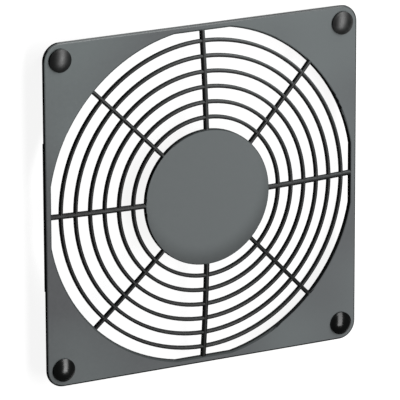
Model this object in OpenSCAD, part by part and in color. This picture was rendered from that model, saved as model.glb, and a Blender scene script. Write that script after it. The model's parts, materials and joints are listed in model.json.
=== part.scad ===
// Finger guard for a square axial fan: a flat frame, a domed grille of rings and spokes round a solid hub,
// and four domed heads that carry split snap pins on the rear. It is moulded in one piece.
// The rear face of the frame lies in the plane z = 0 and the front looks along +Z.

/* [Fan fixing] */
// Spacing of the fan's mounting holes, centre to centre
hole_spacing = 104.8; // [95:0.1:115]
// Distance from a mounting hole's centre to the frame's outer edge
hole_margin = 5.85; // [5:0.05:8]
// Radius of a pin's solid collar, which centres it in the fan's mounting hole
pin_r = 2.1; // [1.5:0.05:2.5]
// Height of the collar between the rear face and the prongs
collar_h = 1.2; // [0.5:0.1:2.5]
// How far the prongs lie inside the collar
prong_relief = 0.2; // [0.1:0.05:0.3]
// Distance from the rear face to the shoulder of a pin's barb, the fan flange that it grips
pin_grip = 4.6; // [3:0.1:8]
// How far a barb stands out beyond the collar
barb_step = 0.3; // [0.1:0.05:0.5]
// Height of a barb's straight band above its lead-in
barb_band = 0.5; // [0.2:0.1:1]
// Height of the lead-in cone at a pin's tip
lead_in = 2.1; // [1:0.1:3]
// Radius of the flat at a pin's tip
tip_r = 1.5; // [1:0.1:1.8]
// Width of the slot between a pin's two prongs
slot_w = 1; // [0.6:0.1:1.4]

/* [Heads] */
// Radius of a domed head
head_r = 3.9; // [3:0.1:5]
// Height of a domed head above the frame
head_h = 1.9; // [1.4:0.1:2.8]
// Height of the upright flank below a head's dome
head_flank = 0.7; // [0.3:0.1:1]

/* [Frame] */
// Thickness of the frame and of the hub
wall_t = 1.6; // [1.5:0.1:3]
// Radius of the frame's corners in plan
corner_r = 6; // [4:0.5:10]
// Radius of the rounding along the frame's front outer edge
edge_r = 0.7; // [0.3:0.1:0.8]
// Chamfer along the frame's rear outer edge
rear_chamfer = 0.5; // [0.2:0.1:0.6]
// Width of the rails at the middle of each side
rail_w = 2.4; // [2.2:0.1:5]
// Length of the unchamfered stretch at the rear of the left and right rails
rail_land = 50; // [20:1:80]
// How far the flats at mid-side cut into the round opening
flat_depth = 0.95; // [0.3:0.05:3]
// Radius of the rounding along the opening's front edge
inlet_r = 1; // [0.4:0.1:1.2]

/* [Grille] */
// Radius of the solid hub
hub_r = 23.1; // [15:0.1:30]
// Radius of the rounding along the hub's front edge
hub_edge_r = 0.4; // [0.2:0.1:0.8]
// Height of the hub's front above the frame's front
grille_rise = 2.9; // [1:0.1:6]
// Clear gap between the hub and the first ring
hub_gap = 3.4; // [2.5:0.1:5]
// Smallest clear gap between the last ring and the flats of the opening
outer_gap = 2; // [1.5:0.1:3]
// Spacing of the rings, centre line to centre line
ring_pitch = 5.08; // [3:0.02:8]
// Width of a ring
ring_w = 1.25; // [0.8:0.05:2]
// Width of the four spokes that run to the middles of the sides
main_spoke_w = 1.6; // [1:0.05:2.4]
// Width of the four spokes that run to the corners
corner_spoke_w = 1.3; // [1:0.05:2.4]
// Height of the rounded crest on the rings and spokes
crest_h = 0.4; // [0.2:0.05:0.5]
// How far the crests of the spokes lie below the fronts of the hub and the frame
spoke_inset = 0.1; // [0.05:0.05:0.3]
// How far the crests of the rings lie below those of the spokes
ring_inset = 0.1; // [0.05:0.05:0.2]
// How far the spokes' rear lies in front of the rears of the hub and the frame
rear_inset = 0.1; // [0.05:0.05:0.3]

/* [Hidden] */

plastic_colour = [0.21, 0.23, 0.23];
// Facets of a large circle, of a small one and of the very large circles that the spokes follow
big_fn = 180;
small_fn = 48;
spoke_fn = 720;
// Overlap that makes a cut run clear of a face
clear = 1;
// How deep a spoke, a head or a pin is rooted in the part that carries it
root = 0.9;
// Rise of the inlet rounding past the frame's front, so that it ends there in a crisp edge
inlet_lip = 0.05;

half = hole_spacing / 2 + hole_margin;
pin_at = hole_spacing / 2;
straight = 2 * (half - corner_r);

// The opening: a circle cut by four flats
flat_at = half - rail_w;
opening_r = flat_at + flat_depth;

// The dome: a sphere on which the spokes' crests lie, from the hub's rim to the opening's rim
crest_out_z = wall_t - spoke_inset;
crest_in_z = crest_out_z + grille_rise;
dome_z = (hub_r ^ 2 + crest_in_z ^ 2 - opening_r ^ 2 - crest_out_z ^ 2) / (2 * grille_rise);
dome_r = norm([opening_r, crest_out_z - dome_z]);
bar_depth = wall_t - spoke_inset - rear_inset;
ring_depth = bar_depth - ring_inset;

// The rings that fit between the hub and the opening
first_ring_r = hub_r + hub_gap + ring_w / 2;
last_ring_limit = flat_at - outer_gap - ring_w / 2;
ring_count = floor((last_ring_limit - first_ring_r) / ring_pitch) + 1;

// Height of the spokes' crests at a distance from the centre
function crest_z(r) = dome_z + sqrt(dome_r ^ 2 - r ^ 2);

// Radius of an arc of a given chord and height
function arc_r(chord, rise) = (chord ^ 2 / 4 + rise ^ 2) / (2 * rise);

// Section of the frame's rim, from the centre of its corner outwards
module rim_section() {
    polygon([
        [0, 0],
        [corner_r - rear_chamfer, 0],
        [corner_r, rear_chamfer],
        [corner_r, wall_t - edge_r],
        [corner_r - edge_r, wall_t],
        [0, wall_t],
    ]);
    translate([corner_r - edge_r, wall_t - edge_r]) circle(r = edge_r, $fn = small_fn);
}

// Frame before its opening is cut: a square core, four straight rims and four round corners
module frame_blank() {
    translate([-straight / 2, -straight / 2, 0]) cube([straight, straight, wall_t]);
    for (turn = [0 : 90 : 270])
        rotate(turn) translate([straight / 2, straight / 2, 0]) {
            rotate([90, 0, 0]) linear_extrude(straight) rim_section();
            rotate_extrude(angle = 90, $fn = big_fn) rim_section();
        }
}

// Half of the opening's section, with a rounded inlet, where reach is its distance from the centre
module opening_section(reach) {
    inlet_z = wall_t - inlet_r + inlet_lip;
    translate([0, -clear]) square([reach, wall_t + 2 * clear]);
    difference() {
        translate([0, inlet_z]) square([reach + inlet_r, wall_t + clear - inlet_z]);
        translate([reach + inlet_r, inlet_z]) circle(r = inlet_r, $fn = small_fn);
    }
}

// One pair of opposite flats, as the space between them
module between_flats() {
    rotate([90, 0, 0]) linear_extrude(4 * half, center = true) {
        opening_section(flat_at);
        mirror([1, 0]) opening_section(flat_at);
    }
}

module opening() {
    intersection() {
        rotate_extrude($fn = big_fn) opening_section(opening_r);
        between_flats();
        rotate(90) between_flats();
    }
}

// Square rear edge along the middle of the left and right rails
module rail_lands() {
    land_t = (rear_chamfer + wall_t - edge_r) / 2;
    for (side = [0, 180])
        rotate(side) translate([half - 2 * rear_chamfer, -rail_land / 2, 0])
            cube([2 * rear_chamfer, rail_land, land_t]);
}

module frame() {
    difference() {
        frame_blank();
        opening();
    }
    rail_lands();
}

module hub() {
    front = wall_t + grille_rise;
    rotate_extrude($fn = big_fn) {
        translate([0, front - wall_t]) square([hub_r, wall_t - hub_edge_r]);
        translate([0, front - wall_t]) square([hub_r - hub_edge_r, wall_t]);
        translate([hub_r - hub_edge_r, front - hub_edge_r]) circle(r = hub_edge_r, $fn = small_fn);
    }
}

// Section of a bar with its crest at the origin and its depth along -Y
module bar_section(width, depth) {
    crest_r = arc_r(width, crest_h);
    translate([-width / 2, -depth]) square([width, depth - crest_h]);
    intersection() {
        translate([-width / 2, -crest_h]) square([width, crest_h]);
        translate([0, -crest_r]) circle(r = crest_r, $fn = small_fn);
    }
}

module rings() {
    for (i = [0 : ring_count - 1]) {
        r = first_ring_r + i * ring_pitch;
        rotate_extrude($fn = big_fn)
            translate([r, crest_z(r) - ring_inset]) bar_section(ring_w, ring_depth);
    }
}

// Spoke along +X that follows the dome between two distances from the centre
module spoke(from_r, to_r, width) {
    start = acos(to_r / dome_r);
    translate([0, 0, dome_z]) rotate([90, 0, 0])
        rotate_extrude(angle = acos(from_r / dome_r) - start, start = start, $fn = spoke_fn)
            translate([dome_r, 0]) rotate(-90) bar_section(width, bar_depth);
}

module spokes() {
    for (turn = [0 : 90 : 270]) {
        rotate(turn) spoke(hub_r - root, flat_at + root, main_spoke_w);
        rotate(turn + 45) spoke(hub_r - root, opening_r + root, corner_spoke_w);
    }
}

// Head that stands on the front face, with a shallow dome on an upright flank
module head() {
    cap_r = arc_r(2 * head_r, head_h - head_flank);
    intersection() {
        translate([0, 0, wall_t + head_h - cap_r]) sphere(r = cap_r, $fn = small_fn);
        translate([0, 0, wall_t - root]) cylinder(r = head_r, h = root + head_h + clear, $fn = small_fn);
    }
}

// Snap pin that stands out of the rear face: a solid collar, then two barbed prongs
module pin() {
    prong_r = pin_r - prong_relief;
    barb_r = pin_r + barb_step;
    band_z = pin_grip + barb_band;
    tip_z = band_z + lead_in;
    difference() {
        rotate_extrude($fn = small_fn) polygon([
            [0, root],
            [pin_r, root],
            [pin_r, -collar_h],
            [prong_r, -collar_h],
            [prong_r, -pin_grip],
            [barb_r, -pin_grip],
            [barb_r, -band_z],
            [tip_r, -tip_z],
            [0, -tip_z],
        ]);
        translate([-barb_r - clear, -slot_w / 2, -tip_z - clear])
            cube([2 * (barb_r + clear), slot_w, tip_z + clear - collar_h]);
    }
}

module heads_and_pins() {
    for (turn = [0 : 90 : 270])
        rotate(turn) translate([pin_at, pin_at, 0]) {
            head();
            rotate(45) pin();
        }
}

module finger_guard() {
    color(plastic_colour) {
        frame();
        hub();
        rings();
        spokes();
        heads_and_pins();
    }
}

finger_guard();
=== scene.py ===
"""Fan finger guard in black moulded plastic, front up on a pale floor under soft studio light."""

import json
import math

import bpy
from mathutils import Matrix, Vector


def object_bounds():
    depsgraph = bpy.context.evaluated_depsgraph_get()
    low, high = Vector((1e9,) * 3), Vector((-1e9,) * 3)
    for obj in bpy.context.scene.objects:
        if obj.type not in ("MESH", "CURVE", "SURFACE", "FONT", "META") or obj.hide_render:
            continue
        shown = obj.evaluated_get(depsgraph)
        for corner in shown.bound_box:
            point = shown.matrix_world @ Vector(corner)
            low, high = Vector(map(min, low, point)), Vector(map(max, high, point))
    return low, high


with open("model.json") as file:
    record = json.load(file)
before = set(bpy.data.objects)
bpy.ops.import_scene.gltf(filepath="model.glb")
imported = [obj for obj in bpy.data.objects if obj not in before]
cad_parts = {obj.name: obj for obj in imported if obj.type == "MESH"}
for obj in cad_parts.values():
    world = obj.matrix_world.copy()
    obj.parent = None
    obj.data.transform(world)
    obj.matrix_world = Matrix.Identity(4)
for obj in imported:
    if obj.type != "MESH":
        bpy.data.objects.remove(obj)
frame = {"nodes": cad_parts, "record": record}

MM = 0.001
X, Y, Z = Vector((1, 0, 0)), Vector((0, 1, 0)), Vector((0, 0, 1))
WHITE = (1, 1, 1, 1)

# The guard, in its own frame: its rear face lies at z = 0 and its front looks along +Z
GUARD = frame["nodes"]["finger_guard"]
CAD_LOW, CAD_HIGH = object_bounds()
PINS = next(mount for mount in frame["record"]["mounts"] if mount["name"] == "fan_pins")
PIN_AT = PINS["dims"]["spacing_x_mm"] / 2 * MM
FRAME_FRONT = 1.6 * MM
HEAD_R = 3.9 * MM
HUB_R = 23.1 * MM
OPENING_R = 56.8 * MM
FLAT_AT = 55.85 * MM
LIP_WIDTH = 1 * MM

# Slack within which a face still counts as lying on a head or on the opening's lip
SLACK = 0.05 * MM

# A face whose normal reaches less far along +Z than these is part of a wall, or of a rounded edge
WALL_NORMAL_Z = 0.5
EDGE_NORMAL_Z = 0.99

# An edge that looks further to the left than this is painted as if crisp: in the front's colour above this
# reach along +Z, in the walls' painted shade below it
CRISP_SIDE_X = -0.5
CRISP_NORMAL_Z = 0.8

# The rim gets a painted highlight where its rounded edge looks further towards +Y than this, or its wall
# further than this
BRIGHT_EDGE_Y = 0.7
BRIGHT_WALL_Y = 0.99

# Noise in the plastic: the size and detail of its mottle, of its patches of gloss and of its moulded grain,
# the mottle's place and the grain's depth; the mottle is placed so that it partly paints shade on the lower
# and right rails
MOTTLE_SIZE, MOTTLE_DETAIL = 46.6 * MM, 1
MOTTLE_AT = Vector((128.9, 93.6, 81.3)) * MM
GLOSS_SIZE, GLOSS_DETAIL = 1.4 * MM, 2
GRAIN_SIZE, GRAIN_DETAIL = 0.3 * MM, 2
GRAIN_DEPTH = 0.02 * MM

# Values of a noise texture between which most of it lies
NOISE_LOW, NOISE_HIGH = 0.3, 0.7

# The finishes of the one plastic, as lit and shaded copies of it: the dark and the light end of its colour,
# which on all but the rear and the heads is painted light and shade, the range of its roughness,
# its specular level and the strength of its grain
FINISHES_AND_PAINTED_LIGHT = {
    # Front: its grey is partly the lighter look of a textured front and partly a painted sheen of the soft
    # light on black plastic
    "satin_front_painted_sheen": dict(
        dark=(0.08, 0.083, 0.087), light=(0.122, 0.139, 0.14),
        roughness=(0.45, 0.53), specular=0.15, grain=0.3),
    # Hub front: as the front, with painted shade towards its lower right rim
    "satin_hub_painted_shade": dict(
        dark=(0.053, 0.059, 0.06), light=(0.103, 0.114, 0.116),
        roughness=(0.45, 0.53), specular=0.15, grain=0.3),
    # Rim along the top edge: glossier, with a painted highlight that is strongest towards the top left corner
    "glossy_edge_painted_highlight": dict(
        dark=(0.06, 0.067, 0.068), light=(0.137, 0.15, 0.151),
        roughness=(0.26, 0.32), specular=0.33, grain=0.1),
    # Rounded edges of the opening's lip and of the hub: painted darker than the front as shade
    "dull_edge_painted_shade": dict(
        dark=(0.056, 0.063, 0.064), light=(0.064, 0.071, 0.072),
        roughness=(0.6, 0.7), specular=0.02, grain=0.2),
    # Walls and the rim's other rounded edges: painted near black as shade, lighter as they turn to the light
    # side
    "dull_wall_painted_shade": dict(
        dark=(0.006, 0.0066, 0.0067), light=(0.036, 0.04, 0.0405),
        roughness=(0.7, 0.8), specular=0.02, grain=0.2),
    "dull_rear": dict(
        dark=(0.0294, 0.0327, 0.0331), light=(0.0346, 0.0383, 0.0389),
        roughness=(0.7, 0.8), specular=0.02, grain=0.2),
    # Rings and spokes: near black, with painted light towards +X and +Y and where they face the light side
    "satin_bar_painted_light": dict(
        dark=(0.005, 0.0056, 0.0056), light=(0.11, 0.1221, 0.1232),
        roughness=(0.42, 0.5), specular=0.3, grain=0.1),
    "satin_head": dict(
        dark=(0.0034, 0.0037, 0.0037), light=(0.0046, 0.0051, 0.0051),
        roughness=(0.38, 0.44), specular=0.6, grain=0.05),
    "polished_head": dict(
        dark=(0.0026, 0.0028, 0.0028), light=(0.0034, 0.0038, 0.0038),
        roughness=(0.21, 0.24), specular=0.48, grain=0.01),
    "dim_head": dict(
        dark=(0.0026, 0.0028, 0.0028), light=(0.0034, 0.0038, 0.0038),
        roughness=(0.17, 0.2), specular=0.32, grain=0.01),
}

# Painted shade on the hub: the centre of its lit middle, and the distances from there at which it starts and
# ends to darken, so that its lower right rim is painted darker
HUB_LIT_CENTRE = Vector((-1, 4.5, 4.5)) * MM
HUB_SHADE_START, HUB_SHADE_END = 20 * MM, 28 * MM

# Directions along which the painted highlight on the top edge and the painted light on the bars grow,
# and how far along these they are painted dark and light
EDGE_WAY = (-1, 0, 0)
EDGE_REACH = (-30 * MM, 48 * MM)
BAR_WAY = (0.5, 0.87, 0)
BAR_REACH = (5 * MM, 50 * MM)

# The side from which the light falls, to which walls and bars are painted lighter as they turn,
# and how far the painted dark and painted light ones look to it
LIGHT_SIDE = (0.7, 0.7, 0)
WALL_FACING = (-0.2, 0.75)
BAR_FACING = (0.05, 0.6)

# Camera, from the plate's front: turned towards -X, raised towards +Y
IMAGE_SIDE_PX = 400
FOCAL_PX = 4300
SENSOR_WIDTH_MM = 36
CLIP_END = 20
VIEW_TURN = math.radians(28.18)
VIEW_RISE = math.radians(16.228)
VIEW_ROLL = math.radians(0.197)
VIEW_DISTANCE = 1420.92 * MM
VIEW_AIM = Vector((-1.42, -1.46, 1.6)) * MM

# The floor, how white it is to the eye and to reflections, and the world round it
FLOOR_SIDE = 12.0
FLOOR_COLOUR = (0.2, 0.2, 0.2, 1)
FLOOR_ROUGHNESS = 1
FLOOR_WHITE = 0.9
WORLD_COLOUR = (0.05, 0.05, 0.05, 1)

# An arch of soft lamps in front of the guard, from below its middle up and over its top
ARCH_CENTRE = Vector((0.16, -0.05, 0))
ARCH_R = 0.5
ARCH_WIDTH = 0.214
ARCH_TOP_WIDTH = 0.28
ARCH_LOW = math.radians(-25.5)
ARCH_HIGH = math.radians(80)
ARCH_LEAN = math.radians(7)
ARCH_PANELS = 6
ARCH_RADIANCE = 6.1
ARCH_FADE = 0.6

# Watts of an area lamp for each square metre at a radiance of one
LAMP_WATTS = 4


def new_material(name):
    """A material, its node tree and its Principled shader."""
    material = bpy.data.materials.new(name)
    material.use_nodes = True
    tree = material.node_tree
    return material, tree, tree.nodes["Principled BSDF"]


def arithmetic(tree, operation, value, by):
    """A step of arithmetic on a value, by another value or a number."""
    node = tree.nodes.new("ShaderNodeMath")
    node.operation = operation
    tree.links.new(value, node.inputs[0])
    if isinstance(by, bpy.types.NodeSocket):
        tree.links.new(by, node.inputs[1])
    else:
        node.inputs[1].default_value = by
    return node.outputs["Value"]


def measure(tree, operation, kind, by, output="Value"):
    """Vector arithmetic on the guard's own coordinates, Object for places or Normal for directions."""
    place = tree.nodes.new("ShaderNodeTexCoord")
    node = tree.nodes.new("ShaderNodeVectorMath")
    node.operation = operation
    tree.links.new(place.outputs[kind], node.inputs[0])
    node.inputs[1].default_value = by
    return node.outputs[output]


def ramp(tree, value, start, end, low=0, high=1, smooth=False):
    """A value that goes from low to high while another goes from start to end."""
    node = tree.nodes.new("ShaderNodeMapRange")
    node.interpolation_type = "SMOOTHSTEP" if smooth else "LINEAR"
    node.inputs["From Min"].default_value = start
    node.inputs["From Max"].default_value = end
    node.inputs["To Min"].default_value = low
    node.inputs["To Max"].default_value = high
    tree.links.new(value, node.inputs["Value"])
    return node.outputs["Result"]


def noise(tree, size, detail, start=(0, 0, 0)):
    """Noise with features of one size all over the guard, in the guard's own space from a start."""
    node = tree.nodes.new("ShaderNodeTexNoise")
    node.inputs["Scale"].default_value = 1 / size
    node.inputs["Detail"].default_value = detail
    tree.links.new(measure(tree, "ADD", "Object", start, "Vector"), node.inputs["Vector"])
    return node.outputs["Fac"]


def between(tree, value, dark, light):
    """A colour between two, by a value from 0 to 1."""
    node = tree.nodes.new("ShaderNodeMix")
    node.data_type = "RGBA"
    node.inputs["A"].default_value = dark
    node.inputs["B"].default_value = light
    tree.links.new(value, node.inputs["Factor"])
    return node.outputs["Result"]


def along(tree, way, reach):
    """A value that rises from 0 to 1 along a direction, from the first to the second place on it."""
    return ramp(tree, measure(tree, "DOT_PRODUCT", "Object", way), *reach)


def facing(tree, reach):
    """A value that rises from 0 to 1 as faces turn to the light side, from the first to the second reach."""
    return ramp(tree, measure(tree, "DOT_PRODUCT", "Normal", LIGHT_SIDE), *reach)


def tone_and_painted_light_of(tree, name):
    """A value from 0 where a finish is dark to 1 where it is light: painted light and shade on the hub, the
    walls, the top edge and the bars, and for the rest a soft mottle, placed so that it partly paints shade on
    the lower and right rails.
    """
    # Painted shade: the hub darkens from a lit middle towards its lower right rim
    if name == "satin_hub_painted_shade":
        off = measure(tree, "DISTANCE", "Object", HUB_LIT_CENTRE)
        return ramp(tree, off, HUB_SHADE_END, HUB_SHADE_START, smooth=True)
    # Painted shade: walls are near black, lighter as they turn to the light side
    if name == "dull_wall_painted_shade":
        return facing(tree, WALL_FACING)
    # Painted highlight along the top edge, strongest towards its left end
    if name == "glossy_edge_painted_highlight":
        return along(tree, EDGE_WAY, EDGE_REACH)
    # Painted light on the bars, lighter towards +X and +Y and where they face the light side
    if name == "satin_bar_painted_light":
        return arithmetic(tree, "MULTIPLY", along(tree, BAR_WAY, BAR_REACH), facing(tree, BAR_FACING))
    # Elsewhere a soft mottle, placed so that it partly paints shade on the lower and right rails
    return ramp(tree, noise(tree, MOTTLE_SIZE, MOTTLE_DETAIL, MOTTLE_AT), NOISE_LOW, NOISE_HIGH)


def plastic(name, dark, light, roughness, specular, grain):
    """Black plastic between a dark and a light end of colour, which for most finishes is painted light and
    shade, with patches of more and less gloss and fine moulded grain.
    """
    material, tree, shader = new_material(name)
    base = between(tree, tone_and_painted_light_of(tree, name), (*dark, 1), (*light, 1))
    tree.links.new(base, shader.inputs["Base Color"])
    gloss = ramp(tree, noise(tree, GLOSS_SIZE, GLOSS_DETAIL), NOISE_LOW, NOISE_HIGH, *roughness)
    tree.links.new(gloss, shader.inputs["Roughness"])
    shader.inputs["Specular IOR Level"].default_value = specular
    bump = tree.nodes.new("ShaderNodeBump")
    bump.inputs["Strength"].default_value = grain
    bump.inputs["Distance"].default_value = GRAIN_DEPTH
    tree.links.new(noise(tree, GRAIN_SIZE, GRAIN_DETAIL), bump.inputs["Height"])
    tree.links.new(bump.outputs["Normal"], shader.inputs["Normal"])
    return material


def is_head(point):
    """Whether a point lies on one of the four domed heads, in front of the frame."""
    across = math.hypot(abs(point.x) - PIN_AT, abs(point.y) - PIN_AT)
    return point.z > FRAME_FRONT and across < HEAD_R + SLACK


def in_opening(point, margin):
    """Whether a point lies within a margin of the round opening with its four flats."""
    inside_flats = max(abs(point.x), abs(point.y)) < FLAT_AT + margin
    return inside_flats and point.xy.length < OPENING_R + margin


def is_bar(point):
    """Whether a point lies on a ring or a spoke, in the opening round the hub."""
    return in_opening(point, 0) and point.xy.length > HUB_R


def finish_and_painted_light_of(face):
    """The name of the finish, with its painted light and shade, that a face of the guard has."""
    if face.normal.z < -WALL_NORMAL_Z or face.center.z < 0:
        return "dull_rear"
    if is_head(face.center):
        if face.center.y > 0:
            return "satin_head"
        return "polished_head" if face.center.x < 0 else "dim_head"
    side = face.normal.xy.normalized()
    on_rim = not in_opening(face.center, LIP_WIDTH + SLACK)
    # Walls are painted shade, but the top rim's upward wall gets the painted highlight
    if face.normal.z < WALL_NORMAL_Z:
        return "glossy_edge_painted_highlight" if on_rim and side.y > BRIGHT_WALL_Y else "dull_wall_painted_shade"
    if is_bar(face.center):
        return "satin_bar_painted_light"
    if face.normal.z > EDGE_NORMAL_Z:
        return "satin_front_painted_sheen" if face.center.xy.length > HUB_R else "satin_hub_painted_shade"
    # Rounded rim edges that look up get the painted highlight
    if on_rim and side.y > BRIGHT_EDGE_Y:
        return "glossy_edge_painted_highlight"
    # Edges that look to the left are painted as if crisp: front colour on their shallow part, wall shade on
    # their steep part
    if side.x < CRISP_SIDE_X:
        return "satin_front_painted_sheen" if face.normal.z > CRISP_NORMAL_Z else "dull_wall_painted_shade"
    # Other rounded edges are painted shade, darkest on the rim
    return "dull_wall_painted_shade" if on_rim else "dull_edge_painted_shade"


def paint_guard():
    """Gives the guard its finishes, with their painted light and shade, face by face."""
    mesh = GUARD.data
    mesh.materials.clear()
    for name, values in FINISHES_AND_PAINTED_LIGHT.items():
        mesh.materials.append(plastic(name, **values))
    slots = list(FINISHES_AND_PAINTED_LIGHT)
    for face in mesh.polygons:
        face.material_index = slots.index(finish_and_painted_light_of(face))


def make_floor():
    """Pale floor at the pins' tips, white to the eye and to reflections, that keeps the guard's shadow."""
    bpy.ops.mesh.primitive_plane_add(size=FLOOR_SIDE, location=(0, 0, CAD_LOW.z))
    floor = bpy.context.object
    floor.name = "floor"
    material, tree, shader = new_material("floor_white")
    shader.inputs["Base Color"].default_value = FLOOR_COLOUR
    shader.inputs["Roughness"].default_value = FLOOR_ROUGHNESS
    shader.inputs["Specular IOR Level"].default_value = 0
    shader.inputs["Emission Color"].default_value = WHITE
    path = tree.nodes.new("ShaderNodeLightPath")
    seen = path.outputs["Is Camera Ray"]
    for ray in ("Is Glossy Ray", "Is Transmission Ray"):
        seen = arithmetic(tree, "MAXIMUM", seen, path.outputs[ray])
    white = arithmetic(tree, "MULTIPLY", seen, FLOOR_WHITE)
    tree.links.new(white, shader.inputs["Emission Strength"])
    floor.data.materials.append(material)


def placed(place, right, up, back):
    """The matrix of an object at a place whose own axes point right, up and back."""
    matrix = Matrix((right, up, back)).transposed().to_4x4()
    matrix.translation = place
    return matrix


def softbox(name, centre, aim, width, height, radiance):
    """A rectangular lamp that looks from its centre at a point, with its width along X."""
    lamp = bpy.data.lights.new(name, "AREA")
    lamp.shape = "RECTANGLE"
    lamp.size = width
    lamp.size_y = height
    lamp.energy = LAMP_WATTS * width * height * radiance
    holder = bpy.data.objects.new(name, lamp)
    back = (centre - aim).normalized()
    right = (X - back * back.x).normalized()
    holder.matrix_world = placed(centre, right, back.cross(right), back)
    holder.visible_camera = False
    bpy.context.scene.collection.objects.link(holder)


def make_arch():
    """The arch of lamps, which widens towards +X and fades towards its top."""
    step = (ARCH_HIGH - ARCH_LOW) / ARCH_PANELS
    height = 2 * ARCH_R * math.tan(step / 2)
    upwards = X * math.sin(ARCH_LEAN) + Y * math.cos(ARCH_LEAN)
    for i in range(ARCH_PANELS):
        angle = ARCH_LOW + (i + 0.5) * step
        place = ARCH_CENTRE + ARCH_R * (upwards * math.sin(angle) + Z * math.cos(angle))
        part = i / (ARCH_PANELS - 1)
        width = ARCH_WIDTH + part * (ARCH_TOP_WIDTH - ARCH_WIDTH)
        place += X * (width - ARCH_WIDTH) / 2
        radiance = ARCH_RADIANCE * (1 - ARCH_FADE * part ** 2)
        softbox("arch_%d" % i, place, ARCH_CENTRE, width, height, radiance)


def make_lights():
    """The arch and a dim grey world."""
    make_arch()
    world = bpy.data.worlds.new("studio")
    world.use_nodes = True
    world.node_tree.nodes["Background"].inputs["Color"].default_value = WORLD_COLOUR
    bpy.context.scene.world = world


def make_camera():
    """Camera at the photograph's angle, with the plate's +Y upright."""
    back = Vector((
        -math.sin(VIEW_TURN) * math.cos(VIEW_RISE),
        math.sin(VIEW_RISE),
        math.cos(VIEW_TURN) * math.cos(VIEW_RISE),
    ))
    level = Y.cross(back).normalized()
    upright = back.cross(level)
    right = level * math.cos(VIEW_ROLL) - upright * math.sin(VIEW_ROLL)
    up = upright * math.cos(VIEW_ROLL) + level * math.sin(VIEW_ROLL)
    camera = bpy.data.cameras.new("camera")
    camera.sensor_width = SENSOR_WIDTH_MM
    camera.lens = SENSOR_WIDTH_MM * FOCAL_PX / IMAGE_SIDE_PX
    camera.clip_end = CLIP_END
    holder = bpy.data.objects.new("camera", camera)
    holder.matrix_world = placed(VIEW_AIM + back * VIEW_DISTANCE, right, up, back)
    bpy.context.scene.collection.objects.link(holder)
    bpy.context.scene.camera = holder


bpy.context.scene.view_settings.view_transform = "Standard"
paint_guard()
make_floor()
make_lights()
make_camera()
